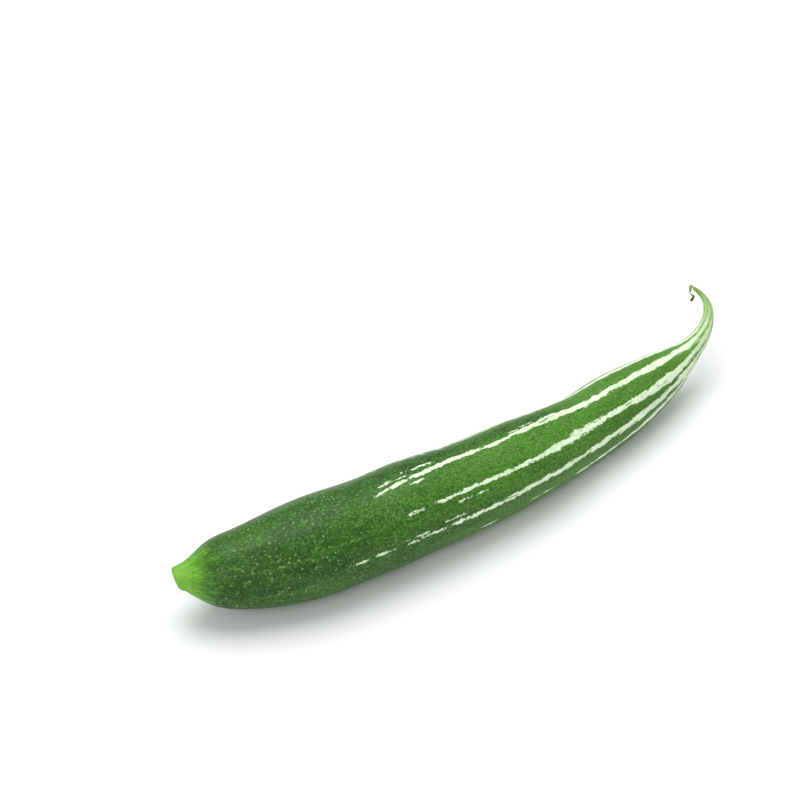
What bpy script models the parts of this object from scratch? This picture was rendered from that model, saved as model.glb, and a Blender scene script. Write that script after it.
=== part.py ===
"""Snake gourd: one whole picked fruit lying on its side.

Metres, +Z up. The stalk end points to -X and the tip to +X. Both ends curve towards +Y, and the
underside lies on Z = 0 along the thick part. The origin is under the middle of the whole part.
"""

import bmesh
import bpy
import numpy as np
from mathutils import Matrix, Vector

MM = 0.001

# Driving dimensions in millimetres, distances measured from the stalk's cut end.
PLAN = (  # the middle line seen from above
    (-162.2, 7.0),
    (-128.7, -2.8),
    (-90.7, -10.0),
    (-50.7, -13.0),
    (-5.7, -14.4),
    (44.3, -11.1),
    (89.3, -4.4),
    (124.3, 0.7),
    (148.8, 9.3),
    (159.3, 23.4),
    (160.0, 33.0),
)
GIRTH = (  # distance along the middle line, radius
    (0.0, 4.4),
    (7.0, 8.0),
    (15.0, 13.5),
    (27.0, 17.6),
    (45.0, 20.9),
    (68.0, 23.0),
    (92.0, 22.5),
    (116.0, 22.6),
    (142.0, 21.4),
    (172.0, 20.6),
    (198.0, 18.8),
    (220.0, 17.3),
    (243.0, 16.8),
    (258.0, 15.1),
    (272.0, 12.7),
    (285.0, 9.8),
    (296.0, 6.7),
    (307.0, 4.7),
    (318.0, 3.2),
    (329.0, 2.1),
    (337.0, 1.3),
    (345.0, 0.8),
)
STALK_LENGTH = 7.0
STALK_SLANT = 0.25  # how far the cut leans, as reach per height
SLANT_PIVOT = 1.0  # height above the middle line that the cut leans about
STALK_GIRTH = ((0.0, 4.3), (0.7, 5.0), (2.8, 5.7), (STALK_LENGTH, 7.7))
THREAD_PATH = (  # the dried flower's thread, measured from the fruit's tip
    (0.0, 0.4, 0.1),
    (0.0, 1.3, 0.0),
    (0.2, 2.0, -1.1),
    (0.3, 1.9, -3.0),
    (0.5, 1.9, -5.0),
    (1.8, 1.6, -6.8),
    (2.7, 1.6, -8.3),
    (0.9, 1.6, -10.3),
)
THREAD_GIRTH = ((0.0, 0.7), (2.0, 0.8), (4.5, 0.7), (6.2, 0.4), (7.6, 0.4), (9.2, 0.75), (12.4, 0.75))
STALK_HEIGHT = 25.0  # of the middle line above the ground, at the stalk's cut end
TIP_HEIGHT = 30.0
REST_START = 0.20  # shares of the length between which the underside lies on the ground
REST_END = 0.66
PRESSED = 0.4  # how much of the round underside is pressed flat
JOINT_GAP = 0.3

# Mesh density
LINE_SAMPLES = 600
FRUIT_SIDES = 40
FRUIT_RINGS = 62
STALK_SIDES = 28
STALK_RINGS = 9
THREAD_SIDES = 10
THREAD_RINGS = 22
END_CROWDING = 0.6  # 0 spaces the rings evenly, 1 packs them at the two ends

SKIN_GREEN = (0.065, 0.178, 0.034)
STALK_GREEN = (0.314, 0.597, 0.093)
THREAD_BROWN = (0.155, 0.120, 0.045)


def clear_scene():
    for item in list(bpy.data.objects):
        bpy.data.objects.remove(item, do_unlink=True)


def smooth_step(share):
    share = np.clip(share, 0.0, 1.0)
    return share * share * (3.0 - 2.0 * share)


def smooth_curve(knots, rows, places):
    """Natural cubic curve through one row per knot, read at the given places."""
    knots = np.asarray(knots, float)
    rows = np.asarray(rows, float).reshape(len(knots), -1)
    gaps = np.diff(knots)
    system = np.eye(len(knots))
    load = np.zeros_like(rows)
    for i in range(1, len(knots) - 1):
        system[i, i - 1 : i + 2] = gaps[i - 1], 2.0 * (gaps[i - 1] + gaps[i]), gaps[i]
        load[i] = 6.0 * ((rows[i + 1] - rows[i]) / gaps[i] - (rows[i] - rows[i - 1]) / gaps[i - 1])
    bend = np.linalg.solve(system, load)
    i = np.clip(np.searchsorted(knots, places, side="right") - 1, 0, len(gaps) - 1)
    gap = gaps[i, None]
    after = (np.asarray(places, float)[:, None] - knots[i, None]) / gap
    before = 1.0 - after
    straight = before * rows[i] + after * rows[i + 1]
    return straight + ((before**3 - before) * bend[i] + (after**3 - after) * bend[i + 1]) * gap**2 / 6.0


def travelled(points):
    """Distance from the first point to each point, along the line through them."""
    steps = np.linalg.norm(np.diff(points, axis=0), axis=1)
    return np.concatenate([[0.0], np.cumsum(steps)])


def girth_at(girth, distances):
    stations = np.array(girth)
    return smooth_curve(stations[:, 0], stations[:, 1], distances)[:, 0]


def middle_line():
    """Points of the gourd's middle line, from the stalk's cut end to the tip, and their distances."""
    plan = np.array(PLAN)
    reach = travelled(plan)
    flat = smooth_curve(reach, plan, np.linspace(0.0, reach[-1], LINE_SAMPLES))
    distances = travelled(flat)
    share = distances / distances[-1]
    resting = girth_at(GIRTH, distances) - PRESSED
    from_stalk = smooth_step(share / REST_START)
    to_tip = smooth_step((share - REST_END) / (1.0 - REST_END))
    height = STALK_HEIGHT + (resting - STALK_HEIGHT) * from_stalk
    height += (TIP_HEIGHT - height) * to_tip
    return np.column_stack([flat, height]), distances


def read_line(points, distances, places):
    """Centres on a line at the given distances, and the line's direction there."""
    ahead = np.gradient(points, axis=0)
    centres = np.column_stack([np.interp(places, distances, column) for column in points.T])
    directions = np.column_stack([np.interp(places, distances, column) for column in ahead.T])
    return centres, directions


def crowded(start, end, count):
    share = np.linspace(0.0, 1.0, count)
    share -= END_CROWDING * np.sin(2.0 * np.pi * share) / (2.0 * np.pi)
    return start + (end - start) * share


def ring_frame(centre, direction, radius):
    """Places a unit circle across the line, with its own Y axis turned up as far as it goes."""
    ahead = Vector(direction).normalized()
    sideways = Vector((0.0, 0.0, 1.0)).cross(ahead).normalized()
    upward = ahead.cross(sideways)
    columns = Matrix((sideways * radius, upward * radius, ahead)).transposed().to_4x4()
    return Matrix.Translation(Vector(centre) * MM) @ columns


def lofted(name, centres, directions, radii, sides):
    """Closed round body drawn through one circle per centre."""
    mesh = bmesh.new()
    frames = [ring_frame(*row) for row in zip(centres, directions, radii * MM)]
    first = bmesh.ops.create_circle(mesh, cap_ends=True, radius=1.0, segments=sides, matrix=frames[0])
    edges = list({edge for vert in first["verts"] for edge in vert.link_edges})
    for previous, frame in zip(frames, frames[1:]):
        grown = bmesh.ops.extrude_edge_only(mesh, edges=edges)["geom"]
        verts = [item for item in grown if isinstance(item, bmesh.types.BMVert)]
        moved = frame @ previous.inverted()
        bmesh.ops.transform(mesh, matrix=moved, verts=verts)
        kept = set(verts)
        edges = [
            item
            for item in grown
            if isinstance(item, bmesh.types.BMEdge) and kept.issuperset(item.verts)
        ]
    bmesh.ops.contextual_create(mesh, geom=edges)
    bmesh.ops.recalc_face_normals(mesh, faces=mesh.faces)
    return finished(name, mesh)


def finished(name, mesh):
    data = bpy.data.meshes.new(name)
    mesh.to_mesh(data)
    mesh.free()
    data.shade_smooth()
    data.set_sharp_from_angle(angle=np.radians(60.0))
    made = bpy.data.objects.new(name, data)
    bpy.context.scene.collection.objects.link(made)
    return made


def painted(made, name, colour, roughness):
    paint = bpy.data.materials.new(name)
    paint.use_nodes = True
    shader = paint.node_tree.nodes["Principled BSDF"]
    shader.inputs["Base Color"].default_value = (*colour, 1.0)
    shader.inputs["Roughness"].default_value = roughness
    shader.inputs["Metallic"].default_value = 0.0
    made.data.materials.append(paint)


def press_flat(made):
    """Flattens what would reach below the ground, so that the fruit rests on a narrow flat strip."""
    for vert in made.data.vertices:
        vert.co.z = max(vert.co.z, 0.0)


def make_fruit(points, distances):
    places = crowded(STALK_LENGTH + JOINT_GAP, distances[-1], FRUIT_RINGS)
    centres, directions = read_line(points, distances, places)
    fruit = lofted("fruit", centres, directions, girth_at(GIRTH, places), FRUIT_SIDES)
    press_flat(fruit)
    painted(fruit, "green_skin", SKIN_GREEN, 0.38)


def lean_cut(made, joint, ahead):
    """Slants the cut end, so that its upper edge stands out further than its lower one."""
    for vert in made.data.vertices:
        offset = vert.co - joint
        along = offset.dot(ahead)
        height = (offset - ahead * along).z - SLANT_PIVOT * MM
        share = smooth_step(-along / (STALK_LENGTH * MM))
        vert.co -= ahead * (height * STALK_SLANT * float(share))


def make_stalk_stub(points, distances):
    places = np.linspace(0.0, STALK_LENGTH, STALK_RINGS)
    centres, directions = read_line(points, distances, places)
    stalk = lofted("stalk_stub", centres, directions, girth_at(STALK_GIRTH, places), STALK_SIDES)
    lean_cut(stalk, Vector(centres[-1]) * MM, Vector(directions[-1]).normalized())
    painted(stalk, "stalk_flesh", STALK_GREEN, 0.5)


def make_flower_thread(tip):
    path = np.array(THREAD_PATH) + tip
    reach = travelled(path)
    places = np.linspace(0.0, reach[-1], THREAD_RINGS)
    points = smooth_curve(reach, path, places)
    directions = np.gradient(points, axis=0)
    thread = lofted("flower_thread", points, directions, girth_at(THREAD_GIRTH, places), THREAD_SIDES)
    painted(thread, "dried_flower", THREAD_BROWN, 0.8)


def main():
    clear_scene()
    points, distances = middle_line()
    make_fruit(points, distances)
    make_stalk_stub(points, distances)
    make_flower_thread(points[-1])


main()
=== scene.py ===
# Snake gourd: striped waxy skin, cut stalk stub and dried flower thread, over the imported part.
import math

import bmesh
import bpy
import numpy as np
from mathutils import Matrix, Vector, noise


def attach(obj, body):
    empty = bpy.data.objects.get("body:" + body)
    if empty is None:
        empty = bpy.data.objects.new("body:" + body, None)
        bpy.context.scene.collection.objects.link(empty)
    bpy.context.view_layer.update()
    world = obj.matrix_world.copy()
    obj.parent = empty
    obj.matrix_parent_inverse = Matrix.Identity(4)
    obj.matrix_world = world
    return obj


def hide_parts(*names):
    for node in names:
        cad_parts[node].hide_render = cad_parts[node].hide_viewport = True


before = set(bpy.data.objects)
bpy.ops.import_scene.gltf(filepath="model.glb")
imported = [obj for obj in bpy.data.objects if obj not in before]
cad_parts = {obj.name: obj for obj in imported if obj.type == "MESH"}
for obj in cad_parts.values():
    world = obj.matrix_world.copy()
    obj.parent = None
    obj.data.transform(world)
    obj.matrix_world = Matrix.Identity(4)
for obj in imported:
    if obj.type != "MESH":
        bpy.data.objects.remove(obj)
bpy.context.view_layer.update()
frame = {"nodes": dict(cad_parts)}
print("frame loaded:", ", ".join(frame["nodes"]))

mm = 0.001


# shared tools for lofted pieces
def smoothStep(value):
    value = np.clip(value, 0.0, 1.0)
    return value * value * (3.0 - 2.0 * value)


def smoothCurve(knots, rows, places):  # natural cubic through the rows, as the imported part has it
    knots = np.asarray(knots, float)
    rows = np.asarray(rows, float).reshape(len(knots), -1)
    gaps = np.diff(knots)
    system = np.eye(len(knots))
    load = np.zeros_like(rows)
    for i in range(1, len(knots) - 1):
        system[i, i - 1:i + 2] = gaps[i - 1], 2.0 * (gaps[i - 1] + gaps[i]), gaps[i]
        load[i] = 6.0 * ((rows[i + 1] - rows[i]) / gaps[i] - (rows[i] - rows[i - 1]) / gaps[i - 1])
    bend = np.linalg.solve(system, load)
    i = np.clip(np.searchsorted(knots, places, side="right") - 1, 0, len(gaps) - 1)
    gap = gaps[i, None]
    after = (np.asarray(places, float)[:, None] - knots[i, None]) / gap
    before = 1.0 - after
    straight = before * rows[i] + after * rows[i + 1]
    return straight + ((before**3 - before) * bend[i] + (after**3 - after) * bend[i + 1]) * gap**2 / 6.0


def travelled(points):
    return np.concatenate([[0.0], np.cumsum(np.linalg.norm(np.diff(points, axis=0), axis=1))])


def readLine(points, distances, places):
    ahead = np.gradient(points, axis=0)
    centres = np.column_stack([np.interp(places, distances, column) for column in points.T])
    headings = np.column_stack([np.interp(places, distances, column) for column in ahead.T])
    return centres, headings


def girthAt(girth, places):
    stations = np.array(girth)
    return smoothCurve(stations[:, 0], stations[:, 1], places)[:, 0]


def ringFrame(centre, heading, radius):  # a unit circle's place across the line, its Y turned upward
    ahead = Vector(heading).normalized()
    sideways = Vector((0.0, 0.0, 1.0)).cross(ahead).normalized()
    upward = ahead.cross(sideways)
    turned = Matrix((sideways * radius, upward * radius, ahead)).transposed().to_4x4()
    return Matrix.Translation(Vector(centre) * mm) @ turned


def loftRings(places, centres, headings, radii, sides, closeEnd=True):
    # a circle extruded ring by ring; each vert remembers its distance along and its angle around
    mesh = bmesh.new()
    along = mesh.verts.layers.float.new("along")
    around = mesh.verts.layers.float.new("around")
    frames = [ringFrame(*row) for row in zip(centres, headings, radii * mm)]
    first = bmesh.ops.create_circle(mesh, cap_ends=True, radius=1.0, segments=sides, matrix=frames[0])
    verts = first["verts"]
    edges = list({edge for vert in verts for edge in vert.link_edges})
    for step, (place, here) in enumerate(zip(places, frames)):
        if step:
            grown = bmesh.ops.extrude_edge_only(mesh, edges=edges)["geom"]
            verts = [item for item in grown if isinstance(item, bmesh.types.BMVert)]
            bmesh.ops.transform(mesh, matrix=here @ frames[step - 1].inverted(), verts=verts)
            kept = set(verts)
            edges = [item for item in grown
                     if isinstance(item, bmesh.types.BMEdge) and kept.issuperset(item.verts)]
        back = here.inverted()
        for vert in verts:
            flat = back @ vert.co
            vert[along] = place
            vert[around] = math.atan2(flat.y, flat.x) % (2.0 * math.pi)
    if closeEnd:
        bmesh.ops.pointmerge(mesh, verts=verts, merge_co=Vector(centres[-1]) * mm)
    else:
        bmesh.ops.contextual_create(mesh, geom=edges)
    bmesh.ops.recalc_face_normals(mesh, faces=mesh.faces)
    return mesh


def unwrapRings(mesh, length):  # u round the piece, v along it, with the seam's far side at u = 1
    along = mesh.verts.layers.float["along"]
    around = mesh.verts.layers.float["around"]
    uv = mesh.loops.layers.uv.new("OFBake")
    for face in mesh.faces:
        turns = [loop.vert[around] / (2.0 * math.pi) for loop in face.loops]
        crosses = max(turns) - min(turns) > 0.5
        for loop, turn in zip(face.loops, turns):
            wrapped = turn + 1.0 if crosses and turn < 0.5 else turn
            loop[uv].uv = (wrapped, loop.vert[along] / length)


def finishPiece(name, mesh, material, node):
    data = bpy.data.meshes.new(name)
    mesh.to_mesh(data)
    mesh.free()
    data.shade_smooth()
    data.set_sharp_from_angle(angle=math.radians(50.0))
    piece = bpy.data.objects.new(name, data)
    bpy.context.scene.collection.objects.link(piece)
    data.materials.append(material)
    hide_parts(node)
    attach(piece, "root")
    print("made", name, "with", len(data.vertices), "verts")
    return piece


def evenTube(far, turn):  # places as if the gourd were an even tube of 20 mm radius, so grain keeps its size
    return np.column_stack([20.0 * np.cos(turn), 20.0 * np.sin(turn), far])


def readPlaces(data):
    rows = [np.empty(len(data.vertices), np.float32) for name in ("along", "around")]
    for row, name in zip(rows, ("along", "around")):
        data.attributes[name].data.foreach_get("value", row)
    return rows


def addField(data, name, values, kind="FLOAT"):
    field = data.attributes.new(name, kind, "POINT")
    key = "vector" if kind == "FLOAT_VECTOR" else "value"
    field.data.foreach_set(key, np.asarray(values, np.float32).ravel())


# the gourd's middle line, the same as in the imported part, in millimetres
gourd = {
    "plan": ((-162.2, 7.0), (-128.7, -2.8), (-90.7, -10.0), (-50.7, -13.0), (-5.7, -14.4), (44.3, -11.1),
             (89.3, -4.4), (124.3, 0.7), (148.8, 9.3), (159.3, 23.4), (160.0, 33.0)),
    "girth": ((0, 4.4), (7, 8.0), (15, 13.5), (27, 17.6), (45, 20.9), (68, 23.0), (92, 22.5), (116, 22.6),
              (142, 21.4), (172, 20.6), (198, 18.8), (220, 17.3), (243, 16.8), (258, 15.1), (272, 12.7),
              (285, 9.8), (296, 6.7), (307, 4.7), (318, 3.2), (329, 2.1), (337, 1.3), (345, 0.8)),
    "stalkHeight": 25.0,
    "tipHeight": 30.0,
    "restStart": 0.20,
    "restEnd": 0.66,
    "pressed": 0.4,
    "stalkLength": 7.0,
}


def middleLine():
    plan = np.array(gourd["plan"])
    reach = travelled(plan)
    flat = smoothCurve(reach, plan, np.linspace(0.0, reach[-1], 600))
    distances = travelled(flat)
    share = distances / distances[-1]
    height = girthAt(gourd["girth"], distances) - gourd["pressed"]
    height = gourd["stalkHeight"] + (height - gourd["stalkHeight"]) * smoothStep(share / gourd["restStart"])
    toTip = smoothStep((share - gourd["restEnd"]) / (1.0 - gourd["restEnd"]))
    height += (gourd["tipHeight"] - height) * toTip
    return np.column_stack([flat, height]), distances


linePoints, lineDistances = middleLine()
lineLength = lineDistances[-1]


# material helpers
def newMaterial(name):
    material = bpy.data.materials.new(name)
    material.use_nodes = True
    tree = material.node_tree
    return material, tree, tree.nodes["Principled BSDF"]


def addNode(tree, kind, inputs=None, **settings):
    node = tree.nodes.new(kind)
    for key, value in settings.items():
        setattr(node, key, value)
    for key, value in (inputs or {}).items():
        if isinstance(value, bpy.types.NodeSocket):
            tree.links.new(value, node.inputs[key])
        else:
            node.inputs[key].default_value = value
    return node


def readField(tree, name):
    return addNode(tree, "ShaderNodeAttribute", attribute_name=name)


def sumUp(tree, operation, a, b=0.0, c=0.0):
    return addNode(tree, "ShaderNodeMath", {0: a, 1: b, 2: c}, operation=operation).outputs[0]


def ramp(tree, value, low, high, toLow=0.0, toHigh=1.0):
    node = addNode(tree, "ShaderNodeMapRange", {"Value": value, "From Min": low, "From Max": high,
                                                "To Min": toLow, "To Max": toHigh},
                   interpolation_type="SMOOTHSTEP")
    return node.outputs["Result"]


def blendColour(tree, share, a, b, mode="MIX"):
    node = addNode(tree, "ShaderNodeMix", {0: share}, data_type="RGBA", blend_type=mode)
    for socket, value in ((node.inputs[6], a), (node.inputs[7], b)):
        if isinstance(value, bpy.types.NodeSocket):
            tree.links.new(value, socket)
        else:
            socket.default_value = (*value, 1.0)
    return node.outputs[2]


def grain(tree, place, scale, detail=2.0, rough=0.5, stretch=(1.0, 1.0, 1.0), shift=(0.0, 0.0, 0.0)):
    moved = addNode(tree, "ShaderNodeMapping", {"Vector": place, "Scale": stretch, "Location": shift})
    node = addNode(tree, "ShaderNodeTexNoise", {"Vector": moved.outputs[0], "Scale": scale,
                                                "Detail": detail, "Roughness": rough})
    return node.outputs["Fac"]


skinLook = {
    "green": (0.034, 0.112, 0.012),
    "darkGreen": (0.014, 0.056, 0.006),
    "freshGreen": (0.078, 0.238, 0.022),
    "speck": (0.180, 0.350, 0.105),
    "stripe": (0.760, 0.900, 0.640),
    "stripeShade": (0.520, 0.690, 0.390),
    "neck": (0.480, 0.650, 0.330),
    "neckGreen": (0.170, 0.370, 0.075),
    "tip": (0.190, 0.370, 0.070),
    "tipScar": (0.110, 0.110, 0.035),
    "flesh": (0.155, 0.400, 0.026),
    "deepFlesh": (0.065, 0.230, 0.016),
    "paleFlesh": (0.260, 0.480, 0.100),
    "stripeRagged": 3.4,  # millimetres that the edge wanders in and out
    "stripeFrayed": 2.3,
    "gloss": 0.15,
}


def stalkFlesh(tree, place, along):  # yellow-green and soft at the cut, streaked darker as it widens
    look = skinLook
    streaks = grain(tree, place, 0.20, 3.0, 0.6, (1.0, 1.0, 0.45))
    deep = sumUp(tree, "ADD", along, sumUp(tree, "MULTIPLY_ADD", streaks, 20.0, -10.0))
    flesh = blendColour(tree, ramp(tree, deep, 3.0, 14.0, 0.0, 0.95), look["flesh"], look["deepFlesh"])
    flecks = grain(tree, place, 0.55, 3.0, 0.6, (1.0, 1.0, 0.35), (3.0, 7.0, 1.0))
    return blendColour(tree, ramp(tree, flecks, 0.50, 0.68, 0.0, 0.7), flesh, look["paleFlesh"])


def makeSkin():
    look = skinLook
    material, tree, shader = newMaterial("gourdSkin")
    place = readField(tree, "skinPlace").outputs["Vector"]  # millimetres on an even tube
    specks = readField(tree, "speckPlace").outputs["Vector"]  # cells, closer together towards the tip
    edge = readField(tree, "stripeEdge").outputs["Fac"]  # millimetres outside the nearest stripe
    along = readField(tree, "along").outputs["Fac"]
    lightGreenAndPaintedShade = readField(tree, "freshGreenAndPaintedShade").outputs["Fac"]  # 0 dark, 1 lighter green: lighter towards the tip, darkened by painted shade beside the upper stripe and on the lower side

    # the green ground: broad lengthwise clouds, then mottling at three sizes
    broad = grain(tree, place, 0.06, 3.0, 0.55, (1.0, 1.0, 0.35))
    ground = blendColour(tree, ramp(tree, broad, 0.34, 0.68), look["darkGreen"], look["green"])
    # painted shade keeps the lighter green off beside the upper stripe and on the lower side
    lightGreenAfterShade = sumUp(tree, "MULTIPLY", lightGreenAndPaintedShade, ramp(tree, broad, 0.25, 0.65, 0.55, 1.0))
    ground = blendColour(tree, lightGreenAfterShade, ground, look["freshGreen"])
    cloud = grain(tree, place, 0.30, 4.0, 0.7, (1.0, 1.0, 0.6))
    ground = blendColour(tree, ramp(tree, cloud, 0.44, 0.70, 0.0, 0.40), ground, look["freshGreen"])
    mottle = grain(tree, place, 1.1, 3.0, 0.75, (1.0, 1.0, 0.7), (8.0, 1.0, 4.0))
    ground = blendColour(tree, ramp(tree, mottle, 0.36, 0.54, 0.65, 0.0), ground, look["darkGreen"])
    ground = blendColour(tree, ramp(tree, mottle, 0.50, 0.70, 0.0, 0.50), ground, look["speck"])

    ground = blendColour(tree, ramp(tree, along, 268.0, 312.0, 0.0, 0.8), ground, look["neckGreen"])

    # pale specks: scattered flecks near the stalk, fine and faint further on
    jitter = grain(tree, place, 1.3, 2.0, 0.6, (1.0, 1.0, 1.0), (2.0, 6.0, 3.0))
    cell = addNode(tree, "ShaderNodeTexVoronoi", {"Vector": specks, "Scale": 1.0, "Randomness": 1.0})
    off = sumUp(tree, "ADD", cell.outputs["Distance"], sumUp(tree, "MULTIPLY_ADD", jitter, 0.34, -0.17))
    dot = ramp(tree, off, 0.32, 0.10)
    chosen = addNode(tree, "ShaderNodeSeparateColor", {"Color": cell.outputs["Color"]}).outputs[0]
    fade = sumUp(tree, "MULTIPLY", ramp(tree, along, 50.0, 150.0, 0.80, 0.50), ramp(tree, chosen, 0.0, 0.6))
    speckle = sumUp(tree, "MULTIPLY", dot, fade)
    ground = blendColour(tree, speckle, ground, look["speck"])

    # the stripes: pale bands with frayed edges and thin dark slits
    ragged = grain(tree, place, 0.40, 4.0, 0.65, (1.0, 1.0, 0.50))
    frayed = grain(tree, place, 1.25, 3.0, 0.70, (1.0, 1.0, 0.60), (4.0, 4.0, 2.0))
    worn = sumUp(tree, "MULTIPLY_ADD", sumUp(tree, "SUBTRACT", ragged, 0.5), look["stripeRagged"], edge)
    worn = sumUp(tree, "MULTIPLY_ADD", sumUp(tree, "SUBTRACT", frayed, 0.5), look["stripeFrayed"], worn)
    slit = grain(tree, place, 0.85, 2.0, 0.5, (1.0, 1.0, 0.10), (1.0, 9.0, 5.0))
    worn = sumUp(tree, "ADD", worn, ramp(tree, slit, 0.63, 0.72, 0.0, 2.4))
    band = ramp(tree, worn, 0.22, -0.22)
    paleMottle = grain(tree, place, 0.45, 4.0, 0.7, (1.0, 1.0, 0.4), (5.0, 2.0, 9.0))
    pale = blendColour(tree, ramp(tree, paleMottle, 0.44, 0.66, 0.0, 0.75), look["stripe"], look["stripeShade"])
    pale = blendColour(tree, ramp(tree, along, 285.0, 325.0, 0.0, 0.85), pale, look["neck"])
    skin = blendColour(tree, band, ground, pale)

    # the two ends
    fibres = grain(tree, place, 0.30, 3.0, 0.6, (1.0, 1.0, 0.10))
    blotch = sumUp(tree, "MULTIPLY_ADD", fibres, 0.5, -0.25)
    skin = blendColour(tree, sumUp(tree, "ADD", ramp(tree, along, 308.0, 340.0, 0.0, 0.9), blotch), skin, look["tip"])
    scar = sumUp(tree, "MULTIPLY", ramp(tree, along, 332.0, 339.0), ramp(tree, along, 344.0, 340.0))
    skin = blendColour(tree, sumUp(tree, "MULTIPLY", scar, 0.35), skin, look["tipScar"])
    patches = grain(tree, place, 0.16, 3.0, 0.65, (1.0, 1.0, 0.5), (7.0, 3.0, 0.0))
    reach = sumUp(tree, "MULTIPLY_ADD", sumUp(tree, "SUBTRACT", patches, 0.5), -34.0, along)
    fleshy = sumUp(tree, "MAXIMUM", ramp(tree, reach, 17.0, 7.0), ramp(tree, along, 15.0, 7.0))
    skin = blendColour(tree, fleshy, skin, stalkFlesh(tree, place, along))
    tree.links.new(skin, shader.inputs["Base Color"])

    roughness = ramp(tree, cloud, 0.3, 0.7, 0.34, 0.50)
    tree.links.new(roughness, shader.inputs["Roughness"])
    bumps = sumUp(tree, "ADD", sumUp(tree, "MULTIPLY", speckle, 0.5), sumUp(tree, "MULTIPLY", cloud, 0.5))
    bumps = sumUp(tree, "MULTIPLY_ADD", mottle, 0.35, sumUp(tree, "MULTIPLY_ADD", band, 0.25, bumps))
    relief = addNode(tree, "ShaderNodeBump", {"Height": bumps, "Strength": 0.3, "Distance": 0.0003})
    tree.links.new(relief.outputs["Normal"], shader.inputs["Normal"])
    shader.inputs["Specular IOR Level"].default_value = look["gloss"]
    shader.inputs["Coat Weight"].default_value = 0.02
    shader.inputs["Coat Roughness"].default_value = 0.2
    return material


fruit = {
    "sides": 160,
    "rings": 400,
    "crowding": 0.35,  # rings closer together at both ends
    "start": 7.05,
    "dents": 0.35,  # broad unevenness, millimetres
    "ribs": 0.22,
    "stations": (90, 115, 140, 165, 190, 215, 240, 265, 285, 307, 325, 345),
    "plainWidths": (0.8, 1.1, 1.7, 2.1, 2.5, 2.8, 3.1, 3.2, 2.9, 2.0, 1.2, 0.5),
    "growth": 9.0,  # millimetres over which a stripe opens to its width
    "stripes": (  # where each starts, its angles at the stations, and its widths where they differ
        (110, (50, 52, 53, 53, 53, 53, 58, 62, 61, 60, 59, 58), None),
        (88, (104, 97, 93, 95, 92, 95, 99, 101, 100, 99, 98, 97),
         (0.9, 1.8, 2.6, 1.6, 3.6, 3.2, 3.2, 3.3, 3.1, 2.1, 1.3, 0.5)),
        (97, (138, 138, 137, 137, 136, 132, 137, 141, 142, 139, 136, 134),
         (0.8, 1.1, 1.5, 1.9, 2.5, 2.9, 3.2, 3.3, 3.1, 2.0, 1.2, 0.5)),
        (94, (171, 172, 171, 170, 169, 166, 165, 165, 166, 168, 168, 168),
         (0.7, 1.1, 1.6, 1.9, 2.3, 2.5, 2.7, 2.9, 2.7, 1.9, 1.2, 0.5)),
        (190, (203, 203, 202, 200, 198, 195, 191, 187, 185, 192, 198, 203),
         (0.4, 0.5, 0.6, 0.9, 1.3, 1.9, 2.5, 2.9, 2.7, 1.8, 1.1, 0.5)),
        (96, (229, 230, 230, 229, 228, 226, 223, 222, 224, 232, 236, 240), None),
        (114, (262, 263, 264, 264, 263, 261, 259, 258, 262, 269, 273, 276), None),
        (90, (298, 299, 299, 299, 298, 297, 296, 296, 300, 306, 309, 312), None),
        (106, (333, 334, 334, 334, 334, 334, 334, 334, 338, 343, 346, 348), None),
        (100, (372, 371, 371, 372, 373, 375, 376, 376, 378, 380, 382, 383), None),
    ),
    "strands": (  # loose pale dashes: angle, from, to, width
        (171, 73, 82, 0.8), (170, 84, 95, 0.8), (52, 94, 101, 0.9), (51, 103, 109, 1.0),
        (92, 97, 116, 0.8), (86, 108, 128, 0.7), (107, 104, 122, 0.6), (168, 99, 112, 0.7),
        (146, 128, 146, 0.6), (163, 120, 139, 0.6), (60, 122, 141, 0.7), (87, 168, 186, 0.7), (128, 196, 213, 0.7),
        (229, 78, 92, 1.2), (263, 98, 110, 1.3), (298, 74, 86, 1.2), (334, 90, 102, 1.3), (372, 82, 96, 1.2),
        (236, 112, 130, 0.7), (291, 104, 124, 0.8), (341, 118, 136, 0.7), (195, 168, 186, 0.8), (203, 140, 152, 0.8),
    ),
}


def skinOffset(place, angle):  # millimetres outward: broad dents and soft lengthwise ribs
    spot = Vector((math.cos(angle), math.sin(angle), place / 26.0))
    dent = noise.noise(spot) * fruit["dents"]
    middle = math.sin(math.pi * min(1.0, max(0.0, (place - 10.0) / 320.0)))
    rib = math.cos(10.0 * angle - 1.2 + place / 90.0) * fruit["ribs"] * (0.35 + 0.65 * place / lineLength)
    return (dent + rib * 0.5) * middle


def wobbleRow(seed, places, wavelength):
    return np.array([noise.noise(Vector((place / wavelength, seed * 7.3, 1.7))) for place in places])


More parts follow.
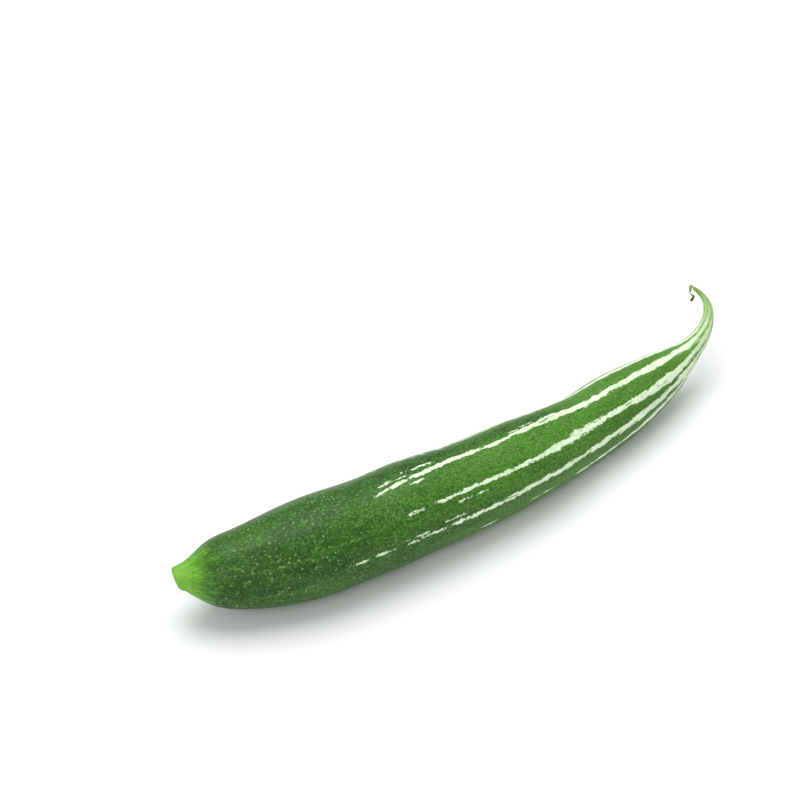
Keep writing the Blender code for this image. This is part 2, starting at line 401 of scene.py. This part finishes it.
def stripeEdges(along, around):
    # least distance, in millimetres, from each point to the edge of a stripe: negative inside one
    table = np.linspace(0.0, lineLength, 900)
    girth = girthAt(gourd["girth"], table)
    stations = fruit["stations"]
    best = np.full(len(along), 1e3)

    def outside(angle, half):
        turned = np.abs((around - np.radians(np.interp(along, table, angle)) + math.pi) % (2.0 * math.pi) - math.pi)
        return turned * np.interp(along, table, girth) - np.interp(along, table, half)

    for seed, (start, angles, widths) in enumerate(fruit["stripes"]):
        angle = smoothCurve(stations, angles, np.clip(table, stations[0] - 15, stations[-1]))[:, 0]
        angle += 1.6 * wobbleRow(seed, table, 22.0) + 1.2 * wobbleRow(seed + 20, table, 7.0)
        width = np.interp(table, stations, widths or fruit["plainWidths"])
        opened = smoothStep((table - start) / fruit["growth"])
        width = width * (1.0 + 0.35 * wobbleRow(seed + 40, table, 14.0) + 0.35 * wobbleRow(seed + 60, table, 5.0))
        half = 0.5 * width * opened - 1.3 * (1.0 - opened) - 3.0 * smoothStep((start - table) / 6.0)
        best = np.minimum(best, outside(angle, half))
    for seed, (turn, begin, end, width) in enumerate(fruit["strands"]):
        share = (table - begin) / (end - begin)
        taper = np.sqrt(np.clip(np.sin(math.pi * np.clip(share, 0.0, 1.0)), 0.0, 1.0))
        away = np.maximum(begin - table, table - end)
        half = 0.5 * width * taper - np.maximum(away, 0.0) - 0.5 * (taper < 0.05)
        angle = turn + 2.0 * wobbleRow(seed + 100, table, 9.0)
        best = np.minimum(best, outside(angle, half))
    return best


def freshGreenAndPaintedShade(along, around):  # the green turns lighter towards the tip; painted shade keeps it dark beside the upper stripe near the stalk and darkens the lower side
    turn = np.degrees(around) % 360.0
    grown = smoothStep((along - 40.0) / 160.0)
    # painted shade: a dark band beside the upper stripe, fading out towards the tip
    upper = 1.0 - 0.95 * np.exp(-((turn - 76.0) / 13.0) ** 2) * smoothStep((225.0 - along) / 45.0)
    # painted shade over the lower side of the gourd
    paintedShadeBelow = 1.0 - 0.40 * smoothStep((turn - 140.0) / 30.0) * smoothStep((300.0 - turn) / 60.0)
    return grown * upper * paintedShadeBelow


def makeFruit():
    share = np.linspace(0.0, 1.0, fruit["rings"])
    share -= fruit["crowding"] * np.sin(2.0 * math.pi * share) / (2.0 * math.pi)
    places = fruit["start"] + (lineLength - fruit["start"]) * share
    centres, headings = readLine(linePoints, lineDistances, places)
    radii = girthAt(gourd["girth"], places)
    radii = np.where(places > lineLength - 1.0, radii * np.sqrt(np.clip(lineLength - places, 0.0, 1.0)) + 0.05, radii)
    mesh = loftRings(places, centres, headings, radii, fruit["sides"])
    along = mesh.verts.layers.float["along"]
    around = mesh.verts.layers.float["around"]
    mesh.normal_update()
    for vert in mesh.verts:
        vert.co += vert.normal * skinOffset(vert[along], vert[around]) * mm
        vert.co.z = max(vert.co.z, 0.0)
    unwrapRings(mesh, lineLength)
    piece = finishPiece("gourdSkinBody", mesh, makeSkin(), "fruit")
    data = piece.data
    far, turn = readPlaces(data)
    addField(data, "stripeEdge", stripeEdges(far, turn))
    addField(data, "freshGreenAndPaintedShade", freshGreenAndPaintedShade(far, turn))
    addField(data, "skinPlace", evenTube(far, turn), "FLOAT_VECTOR")
    # specks grow closer together away from the stalk
    table = np.linspace(0.0, lineLength, 500)
    density = 0.42 + 0.40 * smoothStep((table - 30.0) / 90.0)
    reach = np.concatenate([[0.0], np.cumsum((density[1:] + density[:-1]) / 2.0 * np.diff(table))])
    spread = 19.0 * np.interp(far, table, density)
    cells = np.column_stack([spread * np.cos(turn), spread * np.sin(turn), np.interp(far, table, reach) * 0.85])
    addField(data, "speckPlace", cells, "FLOAT_VECTOR")
    return piece


stub = {
    "sides": 96,
    "face": ((0.0, 0.02), (0.0, 0.9), (0.03, 1.8), (0.08, 2.7), (0.18, 3.5), (0.34, 4.1)),  # cut face: place, radius
    "girth": ((0.5, 4.5), (1.0, 4.95), (2.0, 5.4), (3.5, 5.95), (5.0, 6.7), (7.0, 7.97)),
    "slant": 0.25,  # the cut leans, its upper edge further out
    "slantPivot": 1.0,
    "rings": 40,
    "lobes": 0.28,
    "cut": (0.290, 0.520, 0.070),
    "core": (0.200, 0.380, 0.050),
}


def makeStubLook():
    material, tree, shader = newMaterial("stalkFlesh")
    along = readField(tree, "along").outputs["Fac"]
    place = readField(tree, "skinPlace").outputs["Vector"]
    middle = readField(tree, "fromMiddle").outputs["Fac"]
    flesh = stalkFlesh(tree, place, along)
    pores = grain(tree, place, 0.9, 3.0, 0.7)
    cut = blendColour(tree, ramp(tree, middle, 2.6, 1.2, 0.0, 0.8), stub["cut"], stub["core"])
    cut = blendColour(tree, ramp(tree, pores, 0.45, 0.7, 0.0, 0.5), cut, stub["core"])
    flesh = blendColour(tree, ramp(tree, along, 0.75, 0.2), flesh, cut)
    tree.links.new(flesh, shader.inputs["Base Color"])
    shader.inputs["Roughness"].default_value = 0.5
    shader.inputs["Specular IOR Level"].default_value = 0.3
    relief = addNode(tree, "ShaderNodeBump", {"Height": pores, "Strength": 0.35, "Distance": 0.0003})
    tree.links.new(relief.outputs["Normal"], shader.inputs["Normal"])
    return material


def makeStub():
    face = np.array(stub["face"])  # the cut face, slightly domed, as rings from its middle outward
    side = np.linspace(stub["girth"][0][0], gourd["stalkLength"] - 0.02, stub["rings"])
    places = np.concatenate([face[:, 0], side])
    radii = np.concatenate([face[:, 1], girthAt(stub["girth"], side)])
    centres, headings = readLine(linePoints, lineDistances, places)
    mesh = loftRings(places, centres, headings, radii, stub["sides"], closeEnd=False)
    along = mesh.verts.layers.float["along"]
    around = mesh.verts.layers.float["around"]
    mesh.normal_update()
    for vert in mesh.verts:
        lobe = math.cos(5.0 * vert[around] + 0.6) * stub["lobes"] * smoothStep(vert[along] / 1.5)
        lobe *= 1.0 - smoothStep((vert[along] - 3.5) / 3.0)
        vert.co += vert.normal * (lobe + 0.15 * noise.noise(vert.co * 600.0) * (vert[along] < 6.0)) * mm
    ahead = Vector(headings[-1]).normalized()
    joint = Vector(centres[-1]) * mm
    for vert in mesh.verts:
        offset = vert.co - joint
        far = offset.dot(ahead)
        height = (offset - ahead * far).z - stub["slantPivot"] * mm
        vert.co -= ahead * (height * stub["slant"] * float(smoothStep(-far / (gourd["stalkLength"] * mm))))
    unwrapRings(mesh, gourd["stalkLength"])
    piece = finishPiece("stalkStubCut", mesh, makeStubLook(), "stalk_stub")
    far, turn = readPlaces(piece.data)
    addField(piece.data, "skinPlace", evenTube(far, turn), "FLOAT_VECTOR")
    addField(piece.data, "fromMiddle", np.repeat(radii, stub["sides"]))
    return piece


thread = {
    "path": ((0.0, 0.4, 0.1), (0.0, 1.3, 0.0), (0.2, 2.0, -1.1), (0.3, 1.9, -3.0), (0.5, 1.9, -5.0),
             (1.8, 1.6, -6.8), (2.7, 1.6, -8.3), (0.9, 1.6, -10.3)),
    "girth": ((0.0, 0.72), (1.5, 0.8), (3.2, 0.8), (4.7, 0.62), (6.0, 0.32), (7.4, 0.28), (8.8, 0.55),
              (10.0, 0.72), (11.2, 0.62), (12.4, 0.78)),
    "sides": 24,
    "rings": 110,
    "pale": (0.240, 0.430, 0.130),
    "green": (0.090, 0.230, 0.035),
    "brown": (0.040, 0.032, 0.018),
}


def makeThreadLook():
    material, tree, shader = newMaterial("driedFlower")
    along = readField(tree, "along").outputs["Fac"]
    place = readField(tree, "skinPlace").outputs["Vector"]
    fibres = grain(tree, place, 0.5, 3.0, 0.6, (1.0, 1.0, 0.6))
    wilted = sumUp(tree, "ADD", along, sumUp(tree, "MULTIPLY_ADD", fibres, 2.4, -1.2))
    colour = blendColour(tree, ramp(tree, wilted, 5.5, 8.5), thread["pale"], thread["green"])
    colour = blendColour(tree, ramp(tree, wilted, 10.2, 11.6), colour, thread["brown"])
    tree.links.new(colour, shader.inputs["Base Color"])
    shader.inputs["Roughness"].default_value = 0.75
    shader.inputs["Specular IOR Level"].default_value = 0.25
    relief = addNode(tree, "ShaderNodeBump", {"Height": fibres, "Strength": 0.5, "Distance": 0.0002})
    tree.links.new(relief.outputs["Normal"], shader.inputs["Normal"])
    return material


def makeThread():
    path = np.array(thread["path"]) + linePoints[-1]
    reach = travelled(path)
    places = np.linspace(0.0, reach[-1], thread["rings"])
    points = smoothCurve(reach, path, places)
    radii = girthAt(thread["girth"], places)
    radii = radii * np.sqrt(np.clip((reach[-1] - places) / 0.7, 0.02, 1.0))
    mesh = loftRings(places, points, np.gradient(points, axis=0), radii, thread["sides"])
    unwrapRings(mesh, reach[-1])
    piece = finishPiece("flowerThreadDry", mesh, makeThreadLook(), "flower_thread")
    far, turn = readPlaces(piece.data)
    addField(piece.data, "skinPlace", evenTube(far, turn), "FLOAT_VECTOR")
    return piece


studio = {
    "aim": (-0.0067, 0.0552, 0.020),
    "azimuth": -35.0,
    "elevation": 40.0,
    "distance": 1.08,
    "lens": 100.0,
    "floor": (0.86, 0.86, 0.86),
}


def makeStudio():
    scene = bpy.context.scene
    scene.view_settings.view_transform = "Standard"
    world = bpy.data.worlds.new("softRoom")
    scene.world = world
    world.use_nodes = True
    world.node_tree.nodes["Background"].inputs["Color"].default_value = (0.95, 0.97, 1.0, 1.0)
    world.node_tree.nodes["Background"].inputs["Strength"].default_value = 0.55

    mesh = bmesh.new()
    bmesh.ops.create_grid(mesh, x_segments=1, y_segments=1, size=4.0)
    data = bpy.data.meshes.new("paleFloor")
    mesh.to_mesh(data)
    mesh.free()
    floor = bpy.data.objects.new("paleFloor", data)
    scene.collection.objects.link(floor)
    material, tree, shader = newMaterial("palePaper")
    shader.inputs["Base Color"].default_value = (*studio["floor"], 1.0)
    shader.inputs["Roughness"].default_value = 0.9
    data.materials.append(material)

    a, e = math.radians(studio["azimuth"]), math.radians(studio["elevation"])
    back = Vector((math.sin(a) * math.cos(e), -math.cos(a) * math.cos(e), math.sin(e)))
    camera = bpy.data.objects.new("camera", bpy.data.cameras.new("camera"))
    camera.data.lens = studio["lens"]
    camera.data.sensor_width = 36.0
    camera.location = Vector(studio["aim"]) + back * studio["distance"]
    camera.rotation_mode = "QUATERNION"
    camera.rotation_quaternion = (-back).to_track_quat("-Z", "Y")
    scene.collection.objects.link(camera)
    scene.camera = camera

    addLight("overhead", (0.05, 0.25, 1.1), 1.1, 11.0)
    addLight("leftFill", (-0.9, -0.5, 0.7), 0.8, 4.0)


def addLight(name, place, size, power):
    lamp = bpy.data.lights.new(name, "AREA")
    lamp.shape = "DISK"
    lamp.size = size
    lamp.energy = power
    light = bpy.data.objects.new(name, lamp)
    light.location = place
    light.rotation_mode = "QUATERNION"
    light.rotation_quaternion = (-Vector(place)).to_track_quat("-Z", "Y")
    bpy.context.scene.collection.objects.link(light)


makeStudio()
print("studio ready")
makeFruit()
makeStub()
makeThread()
